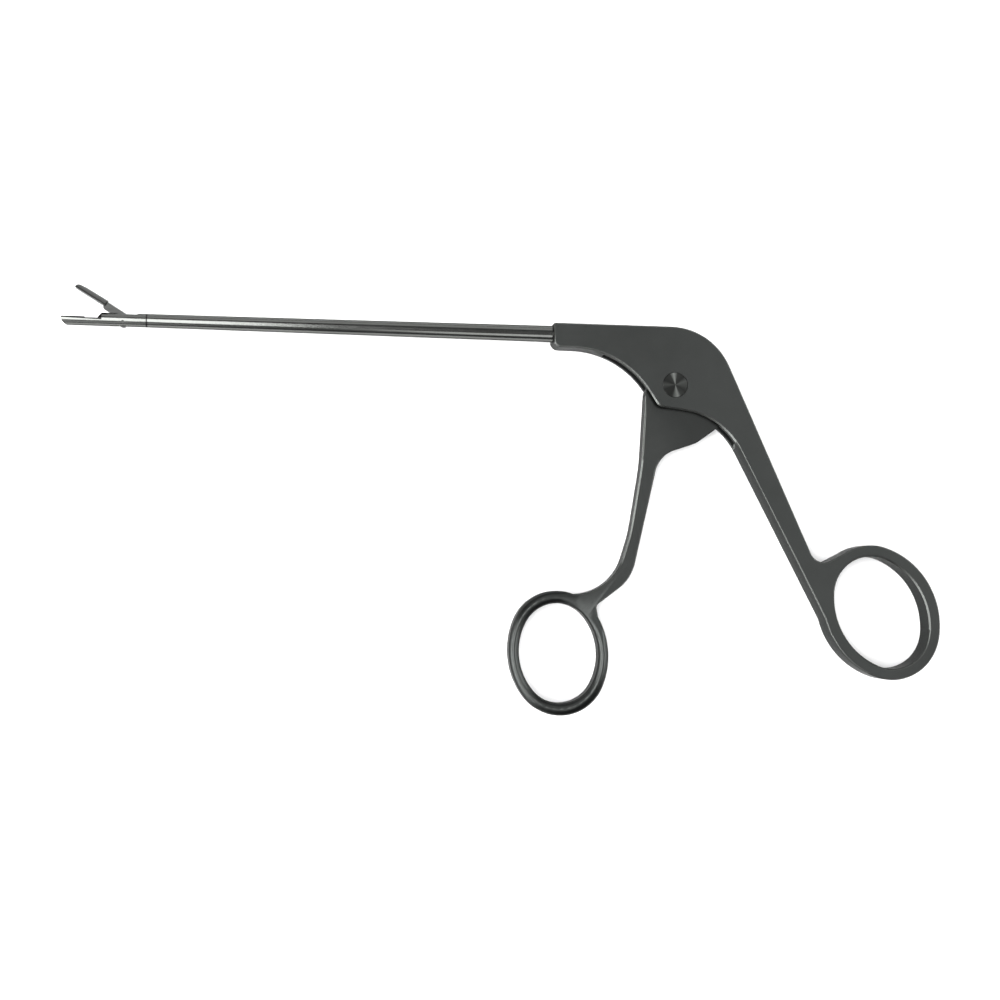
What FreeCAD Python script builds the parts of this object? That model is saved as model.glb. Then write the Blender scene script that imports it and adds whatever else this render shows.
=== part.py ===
import FreeCAD, Part
import math
import os

# Tissue forceps with a straight tube shaft and a ring handle, lying flat.
# X runs along the shaft towards the handle, Y runs from the rings towards the
# shaft, and Z is up from the face the handle lies on. The origin is on that
# face, under the shaft's axis and level with the main pivot. The outlines are
# drawn from the pivot and then set down by the shaft's height above it. All
# sizes are millimetres and live in the sheet below.

SIZES = {
    # Fits
    "seat_gap": 0.02,
    "running_gap": 0.04,
    "blade_gap": 0.1,
    "drive_bore_play": 0.06,
    "cut_margin": 1.0,
    # Shaft line and stations along it
    "shaft_height": 13.4,
    "nose_reach": 33.55,
    "tube_front": 141.4,
    "holder_length": 21.65,
    # Fixed handle
    "handle_thickness": 6.8,
    "handle_edge": 0.4,
    "body_top": 16.0,
    "nose_bottom": 9.4,
    "nose_radius": 2.0,
    "nose_corner": 0.4,
    "shoulder_reach": 10.5,
    "shoulder_radius": 17.8,
    "arm_end_beside": 18.45,
    "arm_end_rise": 12.14,
    "crotch_radius": 4.0,
    "ring_shoulder_angle": 27.0,
    "ring_shoulder_length": 11.0,
    "arm_root_across": 13.4,
    "arm_root_down": 8.2,
    "arm_root_radius": 20.0,
    "arm_foot_beside": 13.0,
    "arm_foot_drop": 7.9,
    "chin_across": 4.5,
    "chin_down": 6.0,
    "chin_radius": 3.0,
    "throat_across": 14.1,
    "throat_radius": 25.0,
    # Rear ring
    "rear_ring_across": 58.4,
    "rear_ring_down": 61.3,
    "rear_ring_turn": -58.2,
    "rear_opening_half_length": 16.2,
    "rear_opening_half_width": 12.45,
    "rear_opening_end_radius": 10.6,
    "rear_rim_end": 3.1,
    "rear_rim_side": 3.35,
    # Slot between the two cheeks of the body
    "slot_width": 3.2,
    "slot_front": 19.5,
    "slot_front_top": 12.6,
    "slot_roof": 15.15,
    "slot_back": 6.5,
    "slot_tail_across": 17.6,
    "slot_tail_down": 15.0,
    "slot_corner": 1.6,
    "slot_below": 24.0,
    "cheek_land": 0.3,
    "rod_way_reach": 7.5,
    # Tube
    "tube_front_diameter": 3.54,
    "tube_rear_diameter": 4.46,
    "tube_bore": 2.7,
    "tube_spigot_diameter": 4.2,
    "tube_socket_depth": 11.0,
    # Finger lever
    "lever_thickness": 4.6,
    "lever_edge": 0.4,
    "lever_end_width": 3.0,
    "lever_head_rise": 1.3,
    "lever_head_drop": 1.7,
    "head_play": 0.1,
    "lever_neck_half_width": 2.4,
    "lever_neck_height": 8.0,
    "lever_neck_radius": 3.0,
    "boss_radius": 6.4,
    "boss_shoulder_height": 3.2,
    "boss_front_corner": 2.5,
    "boss_rear_corner": 3.0,
    "heel_tip_across": 13.8,
    "heel_tip_down": 10.2,
    "heel_tip_radius": 0.8,
    "heel_belly_across": 6.4,
    "heel_belly_down": 15.6,
    "heel_belly_radius": 8.0,
    "heel_root_across": 4.1,
    "heel_root_down": 19.2,
    "heel_root_radius": 8.0,
    "lever_back_across": 7.9,
    "lever_back_down": 2.4,
    "lever_back_radius": 2.0,
    "lever_bend_across": 9.0,
    "lever_bend_share": 0.302,
    "lever_bend_radius": 60.0,
    "lever_calf_across": 12.0,
    "lever_calf_share": 0.556,
    "lever_calf_radius": 40.0,
    "lever_knee_beside": 19.75,
    "lever_knee_rise": 20.05,
    "lever_knee_radius": 12.0,
    "lever_shin_beside": 14.25,
    "lever_shin_rise": 15.85,
    "lever_shin_radius": 14.0,
    "lever_crotch_beside": 10.05,
    "lever_crotch_rise": 12.75,
    "lever_crotch_radius": 1.5,
    "ring_join_beside": 12.25,
    "ring_join_rise": 1.0,
    "scoop_radius": 60.0,
    "scoop_end": 10.5,
    "scoop_turn": 112.0,
    "cheek_relief_gap": 0.4,
    "cheek_relief_corner": 3.0,
    # Front ring
    "front_ring_across": 31.35,
    "front_ring_down": 72.85,
    "front_ring_turn": -83.0,
    "front_opening_half_length": 13.35,
    "front_opening_half_width": 10.75,
    "front_opening_end_radius": 9.6,
    "front_rim_end": 3.3,
    "front_rim_side": 2.7,
    # Main pivot pin
    "pin_head_diameter": 6.9,
    "pin_head_height": 1.2,
    "pin_shank_diameter": 4.0,
    "pin_end_recess": 0.15,
    # Push rod
    "rod_diameter": 1.8,
    "rod_neck_diameter": 1.2,
    "rod_collar_diameter": 2.5,
    "rod_collar_length": 1.2,
    "rod_nut_diameter": 2.6,
    "rod_nut_length": 1.8,
    # Jaws
    "jaw_open_angle": 31.0,
    "holder_diameter": 3.52,
    "spigot_length": 4.0,
    "jaw_pivot_ahead": 5.9,
    "jaw_pivot_drop": 0.75,
    "jaw_pivot_diameter": 0.8,
    "jaw_pin_recess": 0.12,
    "jaw_lobe_radius": 1.25,
    "jaw_lobe_corner": 1.12,
    "drive_pin_height": 1.65,
    "drive_pin_diameter": 0.6,
    "bite_height": 0.35,
    "bite_relief": 0.25,
    "bite_length": 6.0,
    "shoulder_ahead": 5.4,
    "shoulder_slope": 1.0,
    "nose_face_height": 0.5,
    "nose_round_length": 0.45,
    "nose_round_height": 1.45,
    "belly_round_length": 1.6,
    "tail_thickness": 1.1,
    "prong_thickness": 0.5,
    "prong_drop": 0.27,
    "prong_rise": 1.36,
    "prong_nose": 0.72,
    "prong_low_corner": 0.3,
    "prong_high_corner": 0.5,
    "fork_depth": 1.85,
    "fork_root": 1.0,
    "fork_slot_drop": 0.45,
    "fork_slot_play": 0.35,
    "tail_slot_floor": 0.5,
    "narrow_slot_front": 3.4,
    "narrow_slot_back": 1.5,
    "jaw_width": 3.2,
    "jaw_setback": 0.6,
    "jaw_tip_height": 1.25,
    "jaw_slope_length": 2.6,
    "jaw_tip_lip": 0.2,
    "jaw_tip_round": 0.8,
    "jaw_root_gap": 0.1,
    "tail_root_lap": 0.5,
    "tail_underside": 0.35,
    "tail_back_step": 0.35,
    "tail_hole_wall": 0.7,
}

document = FreeCAD.newDocument("tissue_forceps")
sheet = document.addObject("Spreadsheet::Sheet", "dims")
for row, (name, value) in enumerate(SIZES.items(), start=1):
    sheet.set("A%d" % row, name)
    sheet.set("B%d" % row, str(value))
    sheet.setAlias("B%d" % row, name)
document.recompute()


def size(name):
    return float(sheet.get(name))


def point(across, up):
    return FreeCAD.Vector(across, up, 0)


# A closed outline from corner points, each rounded by its own radius.
def rounded_outline(corners):
    spots = [point(across, up) for across, up, radius in corners]
    starts = []
    pieces = []
    for index, (across, up, radius) in enumerate(corners):
        corner = spots[index]
        before = (spots[index - 1] - corner).normalize()
        after = (spots[(index + 1) % len(spots)] - corner).normalize()
        if radius <= 0:
            starts.append((corner, corner))
            pieces.append(None)
            continue
        half_angle = before.getAngle(after) / 2
        reach = radius / math.tan(half_angle)
        middle_line = (before + after).normalize()
        centre = corner + middle_line * (radius / math.sin(half_angle))
        enter = corner + before * reach
        leave = corner + after * reach
        middle = centre - middle_line * radius
        starts.append((enter, leave))
        pieces.append(Part.Arc(enter, middle, leave))
    edges = []
    for index in range(len(corners)):
        if pieces[index]:
            edges.append(pieces[index])
        leave = starts[index][1]
        enter = starts[(index + 1) % len(corners)][0]
        if leave.distanceToPoint(enter) > 1e-6:
            edges.append(Part.LineSegment(leave, enter))
    return edges


def sharp_outline(corners):
    return rounded_outline([(across, up, 0) for across, up in corners])


# An oval of four tangent arcs: two end arcs of a given radius and two side
# arcs whose radius follows from the oval's half length and half width.
def oval_outline(across, up, half_length, half_width, end_radius, turn):
    centre = point(across, up)
    angle = math.radians(turn)
    along = point(math.cos(angle), math.sin(angle))
    beside = point(-math.sin(angle), math.cos(angle))
    end_reach = half_length - end_radius
    side_radius = end_reach ** 2 + half_width ** 2 - end_radius ** 2
    side_radius /= 2 * (half_width - end_radius)
    side_reach = side_radius - half_width
    joint_angle = math.atan2(side_reach, end_reach)
    joint_along = end_reach + end_radius * math.cos(joint_angle)
    joint_beside = end_radius * math.sin(joint_angle)

    def spot(along_way, beside_way):
        return centre + along * along_way + beside * beside_way

    return [
        Part.Arc(spot(joint_along, -joint_beside), spot(half_length, 0), spot(joint_along, joint_beside)),
        Part.Arc(spot(joint_along, joint_beside), spot(0, half_width), spot(-joint_along, joint_beside)),
        Part.Arc(spot(-joint_along, joint_beside), spot(-half_length, 0), spot(-joint_along, -joint_beside)),
        Part.Arc(spot(-joint_along, -joint_beside), spot(0, -half_width), spot(joint_along, -joint_beside)),
    ]


def circle_outline(across, up, radius):
    return [Part.Circle(point(across, up), FreeCAD.Vector(0, 0, 1), radius)]


def new_body(label):
    body = document.addObject("PartDesign::Body", label)
    body.Label = label
    return body


def origin_plane(body, role):
    for feature in body.Origin.OriginFeatures:
        if feature.Role == role:
            return feature
    raise ValueError("no plane " + role)


# A sketch on one of the body's planes. Its place along the three sketch
# directions comes from expressions on the sheet, and it may be turned about
# its own upward direction.
def new_sketch(body, name, edges, role="XY_Plane", place=("0", "0", "0"), turn=0.0):
    sketch = body.newObject("Sketcher::SketchObject", name)
    sketch.AttachmentSupport = [(origin_plane(body, role), "")]
    sketch.MapMode = "FlatFace"
    sketch.AttachmentOffset = FreeCAD.Placement(
        FreeCAD.Vector(0, 0, 0),
        FreeCAD.Rotation(FreeCAD.Vector(0, 1, 0), turn),
    )
    for direction, expression in zip("xyz", place):
        sketch.setExpression("AttachmentOffset.Base." + direction, "(" + expression + ") * 1 mm")
    for edge in edges:
        sketch.addGeometry(edge, False)
    return sketch


def add_pad(body, name, sketch, length, centred=False):
    pad = body.newObject("PartDesign::Pad", name)
    pad.Profile = sketch
    pad.setExpression("Length", "(" + length + ") * 1 mm")
    if centred:
        pad.Midplane = True
    document.recompute()
    return pad


# A cut that must take material away; its direction is the sketch's own normal.
def add_pocket(body, name, sketch, length=None, centred=False):
    before = body.Shape.Volume
    pocket = body.newObject("PartDesign::Pocket", name)
    pocket.Profile = sketch
    if centred:
        pocket.Midplane = True
    else:
        pocket.Reversed = True
    if length:
        pocket.Type = "Length"
        pocket.setExpression("Length", "(" + length + ") * 1 mm")
    else:
        pocket.Type = "ThroughAll"
    document.recompute()
    if body.Shape.Volume > before - 1e-4:
        raise ValueError(name + " cuts nothing")
    return pocket


def add_turned(body, name, sketch, kind="PartDesign::Revolution"):
    before = 0.0 if body.Shape.isNull() else body.Shape.Volume
    turned = body.newObject(kind, name)
    turned.Profile = sketch
    turned.ReferenceAxis = (sketch, ["H_Axis"])
    turned.Angle = 360
    document.recompute()
    if abs(body.Shape.Volume - before) < 1e-4:
        raise ValueError(name + " changes nothing")
    return turned


# Breaks the edges of the body that a test picks out.
def add_chamfer(body, name, width, wanted):
    base = body.Tip
    names = []
    for number, edge in enumerate(base.Shape.Edges, start=1):
        if wanted(edge):
            names.append("Edge%d" % number)
    chamfer = body.newObject("PartDesign::Chamfer", name)
    chamfer.Base = (base, names)
    chamfer.setExpression("Size", "(" + width + ") * 1 mm")
    document.recompute()
    return chamfer


def lies_at_height(edge, height):
    box = edge.BoundBox
    return abs(box.ZMin - height) < 1e-3 and abs(box.ZMax - height) < 1e-3


middle_height = size("handle_thickness") / 2
MIDDLE = "dims.handle_thickness / 2"
SHAFT = "dims.shaft_height"
shaft_up = size("shaft_height")
margin = size("cut_margin")

# Travel of the linkage. The drive pin passes over the jaw pivot at half
# stroke, and the lever's head passes over the main pivot at half stroke.
half_open = math.radians(size("jaw_open_angle") / 2)
half_travel = size("drive_pin_height") * math.tan(half_open)
tip_x = -size("tube_front") - size("holder_length")
jaw_pivot_x = -size("tube_front") - size("jaw_pivot_ahead")
shoulder_x = jaw_pivot_x - size("shoulder_ahead")
jaw_pivot_y = shaft_up - size("jaw_pivot_drop")
drive_pin_x = jaw_pivot_x + half_travel
drive_pin_y = jaw_pivot_y + size("drive_pin_height")

# Fixed handle: body with two cheeks, arm and rear ring, forged in one piece.
handle = new_body("fixed_handle")
ring_lift = math.radians(size("ring_shoulder_angle"))
rear_x = size("rear_ring_across")
rear_y = -size("rear_ring_down")
arm_end_x = rear_x - size("arm_end_beside")
arm_end_y = rear_y + size("arm_end_rise")
ring_shoulder_x = arm_end_x + size("ring_shoulder_length") * math.cos(ring_lift)
ring_shoulder_y = arm_end_y + size("ring_shoulder_length") * math.sin(ring_lift)
handle_corners = [
    (-size("nose_reach"), size("body_top"), size("nose_corner")),
    (size("shoulder_reach"), size("body_top"), size("shoulder_radius")),
    (arm_end_x, arm_end_y, size("crotch_radius")),
    (ring_shoulder_x, ring_shoulder_y, 0),
    (rear_x, rear_y, 0),
    (rear_x - size("arm_foot_beside"), rear_y - size("arm_foot_drop"), 0),
    (size("arm_root_across"), -size("arm_root_down"), size("arm_root_radius")),
    (-size("chin_across"), -size("chin_down"), size("chin_radius")),
    (-size("throat_across"), size("nose_bottom"), size("throat_radius")),
    (-size("nose_reach"), size("nose_bottom"), size("nose_radius")),
]
handle_sketch = new_sketch(handle, "handle_outline", rounded_outline(handle_corners))
add_pad(handle, "handle_plate", handle_sketch, "dims.handle_thickness")
rear_ring_edges = oval_outline(
    rear_x,
    rear_y,
    size("rear_opening_half_length") + size("rear_rim_end"),
    size("rear_opening_half_width") + size("rear_rim_side"),
    size("rear_opening_end_radius") + size("rear_rim_end"),
    size("rear_ring_turn"),
)
rear_ring_sketch = new_sketch(handle, "rear_ring_outline", rear_ring_edges)
add_pad(handle, "rear_ring", rear_ring_sketch, "dims.handle_thickness")
rear_opening_edges = oval_outline(
    rear_x,
    rear_y,
    size("rear_opening_half_length"),
    size("rear_opening_half_width"),
    size("rear_opening_end_radius"),
    size("rear_ring_turn"),
)
rear_opening_sketch = new_sketch(handle, "rear_opening_outline", rear_opening_edges)
add_pocket(handle, "rear_opening", rear_opening_sketch)
handle_top = size("handle_thickness")
add_chamfer(
    handle,
    "handle_edges",
    "min(dims.handle_edge; dims.handle_thickness / 2 - dims.slot_width / 2 - dims.cheek_land)",
    lambda edge: lies_at_height(edge, 0.0) or lies_at_height(edge, handle_top),
)
slot_corners = [
    (-size("slot_front"), -size("slot_below"), 0),
    (-size("slot_front"), size("slot_front_top"), size("slot_corner")),
    (-size("slot_back"), size("slot_roof"), size("slot_corner")),
    (size("slot_back"), size("slot_roof"), size("slot_corner")),
    (size("slot_tail_across"), -size("slot_tail_down"), 0),
    (size("slot_tail_across"), -size("slot_below"), 0),
]
slot_place = ("0", "0", "(dims.handle_thickness - dims.slot_width) / 2")
slot_sketch = new_sketch(handle, "slot_outline", rounded_outline(slot_corners), place=slot_place)
add_pocket(handle, "lever_slot", slot_sketch, "dims.slot_width")
shank_hole_radius = size("pin_shank_diameter") / 2 + size("seat_gap")
shank_sketch = new_sketch(handle, "shank_hole_outline", circle_outline(0, 0, shank_hole_radius))
add_pocket(handle, "shank_hole", shank_sketch)
head_hole_radius = size("pin_head_diameter") / 2 + size("seat_gap")
head_place = ("0", "0", "dims.handle_thickness - dims.pin_head_height")
head_edges = circle_outline(0, 0, head_hole_radius)
head_sketch = new_sketch(handle, "head_seat_outline", head_edges, place=head_place)
add_pocket(handle, "head_seat", head_sketch)
socket_end = -size("nose_reach") + size("tube_socket_depth")
socket_radius = size("tube_spigot_diameter") / 2 + size("seat_gap")
rod_way_radius = size("tube_bore") / 2
rod_way_end = -size("rod_way_reach")
socket_profile = sharp_outline([
    (-size("nose_reach") - margin, 0),
    (-size("nose_reach") - margin, socket_radius),
    (socket_end, socket_radius),
    (socket_end, rod_way_radius),
    (rod_way_end, rod_way_radius),
    (rod_way_end, 0),
])
socket_sketch = new_sketch(handle, "socket_profile", socket_profile, place=("0", SHAFT, MIDDLE))
add_turned(handle, "tube_socket", socket_sketch, "PartDesign::Groove")

# Outer tube: drawn down towards the tip, its rear end let into the nose.
tube = new_body("outer_tube")
tube_profile = sharp_outline([
    (-size("tube_front"), size("tube_bore") / 2),
    (-size("tube_front"), size("tube_front_diameter") / 2),
    (-size("nose_reach"), size("tube_rear_diameter") / 2),
    (-size("nose_reach"), size("tube_spigot_diameter") / 2),
    (socket_end - size("seat_gap"), size("tube_spigot_diameter") / 2),
    (socket_end - size("seat_gap"), size("tube_bore") / 2),
])
tube_sketch = new_sketch(tube, "tube_profile", tube_profile, place=("0", SHAFT, MIDDLE))
add_turned(tube, "tube_wall", tube_sketch)

# Finger lever: head in the slot, boss on the pivot, heel, bar and front ring.
lever = new_body("finger_lever")
front_x = -size("front_ring_across")
front_y = -size("front_ring_down")
shin_x = front_x + size("lever_shin_beside")
shin_y = front_y + size("lever_shin_rise")
crotch_x = front_x + size("lever_crotch_beside")
crotch_y = front_y + size("lever_crotch_rise")
knee_x = front_x + size("lever_knee_beside")
knee_y = front_y + size("lever_knee_rise")
calf_y = front_y * size("lever_calf_share")
bend_y = front_y * size("lever_bend_share")
head_half = size("lever_end_width") / 2
lever_head_x = half_travel
head_top = shaft_up + size("lever_head_rise")
head_foot = shaft_up - size("lever_head_drop")
neck_half = size("lever_neck_half_width")
neck_up = size("lever_neck_height")
neck_round = size("lever_neck_radius")
boss_up = size("boss_shoulder_height")
lever_corners = [
    (lever_head_x - head_half, head_top, size("lever_head_rise") / 2),
    (lever_head_x - head_half, head_foot, neck_round),
    (lever_head_x - neck_half, neck_up, neck_round),
    (-size("boss_radius"), boss_up, size("boss_front_corner")),
    (-size("lever_back_across"), -size("lever_back_down"), size("lever_back_radius")),
    (-size("lever_bend_across"), bend_y, size("lever_bend_radius")),
    (-size("lever_calf_across"), calf_y, size("lever_calf_radius")),
    (shin_x, shin_y, size("lever_shin_radius")),
    (front_x, shin_y, 0),
    (front_x, front_y, 0),
    (front_x + size("ring_join_beside"), front_y + size("ring_join_rise"), 0),
    (crotch_x, crotch_y, size("lever_crotch_radius")),
    (knee_x, knee_y, size("lever_knee_radius")),
    (-size("heel_root_across"), -size("heel_root_down"), size("heel_root_radius")),
    (size("heel_belly_across"), -size("heel_belly_down"), size("heel_belly_radius")),
    (size("heel_tip_across"), -size("heel_tip_down"), size("heel_tip_radius")),
    (size("boss_radius"), boss_up, size("boss_rear_corner")),
    (lever_head_x + neck_half, neck_up, neck_round),
    (lever_head_x + head_half, head_foot, neck_round),
    (lever_head_x + head_half, head_top, size("lever_head_rise") / 2),
]
lever_place = ("0", "0", "(dims.handle_thickness - dims.lever_thickness) / 2")
lever_sketch = new_sketch(lever, "lever_outline", rounded_outline(lever_corners), place=lever_place)
add_pad(lever, "lever_plate", lever_sketch, "dims.lever_thickness")
front_ring_edges = oval_outline(
    front_x,
    front_y,
    size("front_opening_half_length") + size("front_rim_end"),
    size("front_opening_half_width") + size("front_rim_side"),
    size("front_opening_end_radius") + size("front_rim_side"),
    size("front_ring_turn"),
)
front_ring_sketch = new_sketch(lever, "front_ring_outline", front_ring_edges, place=lever_place)
add_pad(lever, "front_ring", front_ring_sketch, "dims.lever_thickness")
front_opening_edges = oval_outline(
    front_x,
    front_y,
    size("front_opening_half_length"),
    size("front_opening_half_width"),
    size("front_opening_end_radius"),
    size("front_ring_turn"),
)
front_opening_sketch = new_sketch(lever, "front_opening_outline", front_opening_edges)
add_pocket(lever, "front_opening", front_opening_sketch)
lever_low = middle_height - size("lever_thickness") / 2
lever_high = middle_height + size("lever_thickness") / 2
add_chamfer(
    lever,
    "lever_edges",
    "min(dims.lever_edge; dims.lever_thickness / 3)",
    lambda edge: lies_at_height(edge, lever_low) or lies_at_height(edge, lever_high),
)
# Head, boss and heel are milled down on both faces to pass between the cheeks.
# The flat runs along the cheeks' lower edge and then scoops out to the bar.
tongue_half = size("slot_width") / 2 - size("blade_gap")
bar_half = size("lever_thickness") / 2
relief_depth = bar_half - tongue_half
relief_gap = size("cheek_relief_gap")
relief_corners = [
    (-size("throat_across") - relief_gap, size("nose_bottom"), 0),
    (-size("chin_across") - relief_gap, -size("chin_down") - relief_gap, size("cheek_relief_corner")),
    (size("chin_across"), -size("chin_down") - relief_gap, 0),
    (size("chin_across"), head_top + margin, 0),
    (-size("throat_across") - relief_gap, head_top + margin, 0),
]
scoop_radius = size("scoop_radius")
scoop_end = size("scoop_end")
scoop_length = math.sqrt(2 * scoop_radius * relief_depth - relief_depth ** 2)
scoop_start = scoop_end - scoop_length
half_length = scoop_length / 2
half_rise = scoop_radius - math.sqrt(scoop_radius ** 2 - half_length ** 2)
far_end = -size("nose_reach")
for side, label in ((1, "near"), (-1, "far")):
    flat_foot = point(scoop_start, side * tongue_half)
    scoop_middle = point(scoop_start + half_length, side * (tongue_half + half_rise))
    scoop_top = point(scoop_end, side * bar_half)
    scoop_outside = point(scoop_end, side * (bar_half + margin))
    flat_outside = point(far_end, side * (bar_half + margin))
    flat_end = point(far_end, side * tongue_half)
    scoop = [
        Part.Arc(flat_foot, scoop_middle, scoop_top),
        Part.LineSegment(scoop_top, scoop_outside),
        Part.LineSegment(scoop_outside, flat_outside),
        Part.LineSegment(flat_outside, flat_end),
        Part.LineSegment(flat_end, flat_foot),
    ]
    scoop_sketch = new_sketch(
        lever, label + "_scoop_profile", scoop, "YZ_Plane", ("0", MIDDLE, "0"), size("scoop_turn")
    )
    add_pocket(lever, label + "_scoop", scoop_sketch, centred=True)
near_place = ("0", "0", MIDDLE + " + dims.slot_width / 2 - dims.blade_gap")
near_relief = new_sketch(lever, "near_relief_outline", rounded_outline(relief_corners), place=near_place)
add_pocket(lever, "near_relief", near_relief, "dims.lever_thickness")
far_face = MIDDLE + " - dims.slot_width / 2 + dims.blade_gap"
far_place = ("0", "0", far_face + " - dims.lever_thickness")
far_relief = new_sketch(lever, "far_relief_outline", rounded_outline(relief_corners), place=far_place)
add_pocket(lever, "far_relief", far_relief, "dims.lever_thickness")
lever_bore_radius = size("pin_shank_diameter") / 2 + size("running_gap")
lever_bore_sketch = new_sketch(lever, "lever_bore_outline", circle_outline(0, 0, lever_bore_radius))
add_pocket(lever, "lever_bore", lever_bore_sketch)
notch_half = size("rod_neck_diameter") / 2 + size("running_gap") + size("head_play")
notch_mouth = size("lever_head_rise") + margin
notch_edges = [
    Part.Arc(point(0, -notch_half), point(-notch_half, 0), point(0, notch_half)),
    Part.LineSegment(point(0, notch_half), point(notch_mouth, notch_half)),
    Part.LineSegment(point(notch_mouth, notch_half), point(notch_mouth, -notch_half)),
    Part.LineSegment(point(notch_mouth, -notch_half), point(0, -notch_half)),
]
notch_sketch = new_sketch(lever, "rod_notch_profile", notch_edges, "YZ_Plane", (SHAFT, MIDDLE, "0"))
add_pocket(lever, "rod_notch", notch_sketch, centred=True)

# Main pivot pin: flush head in the near cheek, shank through to the far one.
pin_head = document.addObject("Part::Cylinder", "pivot_head")
pin_head.setExpression("Radius", "dims.pin_head_diameter / 2 * 1 mm")
pin_head.setExpression("Height", "(dims.pin_head_height - dims.seat_gap) * 1 mm")
PIN_SEAT = "(dims.handle_thickness - dims.pin_head_height + dims.seat_gap) * 1 mm"
pin_head.setExpression("Placement.Base.z", PIN_SEAT)
pin_shank = document.addObject("Part::Cylinder", "pivot_shank")
pin_shank.setExpression("Radius", "dims.pin_shank_diameter / 2 * 1 mm")
pin_shank.setExpression("Height", "(dims.handle_thickness - dims.pin_head_height) * 1 mm")
pin_shank.setExpression("Placement.Base.z", "dims.pin_end_recess * 1 mm")
pivot_pin = document.addObject("Part::MultiFuse", "pivot_pin")
pivot_pin.Shapes = [pin_head, pin_shank]

# Push rod: forked at the front, with a collar and a thin neck at the rear.
rod = new_body("push_rod")
collar_back = lever_head_x - head_half - size("head_play")
collar_front = collar_back - size("rod_collar_length")
nut_front = lever_head_x + head_half + size("head_play")
nut_back = nut_front + size("rod_nut_length")
fork_start = drive_pin_x + size("fork_depth")
rod_profile = sharp_outline([
    (fork_start, 0),
    (fork_start, size("rod_diameter") / 2),
    (collar_front, size("rod_diameter") / 2),
    (collar_front, size("rod_collar_diameter") / 2),
    (collar_back, size("rod_collar_diameter") / 2),
    (collar_back, size("rod_neck_diameter") / 2),
    (nut_back, size("rod_neck_diameter") / 2),
    (nut_back, 0),
])
rod_sketch = new_sketch(rod, "rod_profile", rod_profile, place=("0", SHAFT, MIDDLE))
add_turned(rod, "rod_round", rod_sketch)
fork_low = shaft_up - size("prong_drop")
fork_high = shaft_up + size("prong_rise")
fork_front = drive_pin_x - size("prong_nose")
fork_corners = [
    (fork_front, fork_low, size("prong_low_corner")),
    (fork_start + size("fork_root"), fork_low, 0),
    (fork_start + size("fork_root"), fork_high, size("prong_high_corner")),
    (fork_front, fork_high, size("prong_high_corner")),
]
fork_half = size("tail_thickness") / 2 + size("running_gap") + size("prong_thickness")
FORK_WIDTH = "(dims.tail_thickness + 2 * dims.running_gap + 2 * dims.prong_thickness)"
fork_place = ("0", "0", MIDDLE + " - dims.tail_thickness / 2 - dims.running_gap - dims.prong_thickness")
fork_sketch = new_sketch(rod, "fork_outline", rounded_outline(fork_corners), place=fork_place)
add_pad(rod, "fork", fork_sketch, FORK_WIDTH)
gap_place = ("0", "0", MIDDLE + " - dims.tail_thickness / 2 - dims.running_gap")
gap_edges = sharp_outline([
    (fork_front - margin, fork_low - margin),
    (fork_start, fork_low - margin),
    (fork_start, fork_high + margin),
    (fork_front - margin, fork_high + margin),
])
gap_sketch = new_sketch(rod, "fork_gap_outline", gap_edges, place=gap_place)
add_pocket(rod, "fork_gap", gap_sketch, "(dims.tail_thickness + 2 * dims.running_gap)")
cross_hole_radius = size("drive_pin_diameter") / 2 + size("seat_gap")
cross_hole_edges = circle_outline(drive_pin_x, drive_pin_y, cross_hole_radius)
cross_hole = new_sketch(rod, "cross_hole_outline", cross_hole_edges)
add_pocket(rod, "cross_hole", cross_hole)

# Nut that closes the rod's neck behind the lever's head.
nut = new_body("rod_end_nut")
nut_profile = sharp_outline([
    (nut_front, size("rod_neck_diameter") / 2 + size("seat_gap")),
    (nut_front, size("rod_nut_diameter") / 2),
    (nut_back, size("rod_nut_diameter") / 2),
    (nut_back, size("rod_neck_diameter") / 2 + size("seat_gap")),
])
nut_sketch = new_sketch(nut, "nut_profile", nut_profile, place=("0", SHAFT, MIDDLE))
add_turned(nut, "nut_ring", nut_sketch)

# Drive pin across the rod's fork and the upper jaw's tail.
drive_pin = document.addObject("Part::Cylinder", "drive_pin")
drive_pin.setExpression("Radius", "dims.drive_pin_diameter / 2 * 1 mm")
drive_pin.setExpression("Height", FORK_WIDTH + " * 1 mm")
drive_pin.Placement = FreeCAD.Placement(
    FreeCAD.Vector(drive_pin_x, drive_pin_y, middle_height - fork_half),
    FreeCAD.Rotation(),
)

# Lower jaw: fixed jaw, slotted holder and spigot turned in one piece.
holder = new_body("lower_jaw")
holder_radius = size("holder_diameter") / 2
spigot_radius = size("tube_bore") / 2 - size("seat_gap")
holder_back = -size("tube_front") - size("seat_gap")
spigot_back = holder_back + size("spigot_length")
holder_profile = sharp_outline([
    (tip_x, 0),
    (tip_x, holder_radius),
    (holder_back, holder_radius),
    (holder_back, spigot_radius),
    (spigot_back, spigot_radius),
    (spigot_back, 0),
])
holder_sketch = new_sketch(holder, "holder_profile", holder_profile, place=("0", SHAFT, MIDDLE))
add_turned(holder, "holder_round", holder_sketch)
bite = size("bite_height")
bite_end = tip_x + size("bite_length")
front_cut = [
    (tip_x - margin, holder_radius + margin),
    (tip_x - margin, bite),
    (bite_end, bite),
    (bite_end, bite - size("bite_relief")),
    (shoulder_x - size("shoulder_slope"), bite - size("bite_relief")),
    (shoulder_x, holder_radius),
    (shoulder_x, holder_radius + margin),
]
front_cut_sketch = new_sketch(
    holder, "front_cut_outline", sharp_outline(front_cut), place=("0", SHAFT, MIDDLE)
)
add_pocket(holder, "front_cut", front_cut_sketch, centred=True)
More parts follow.
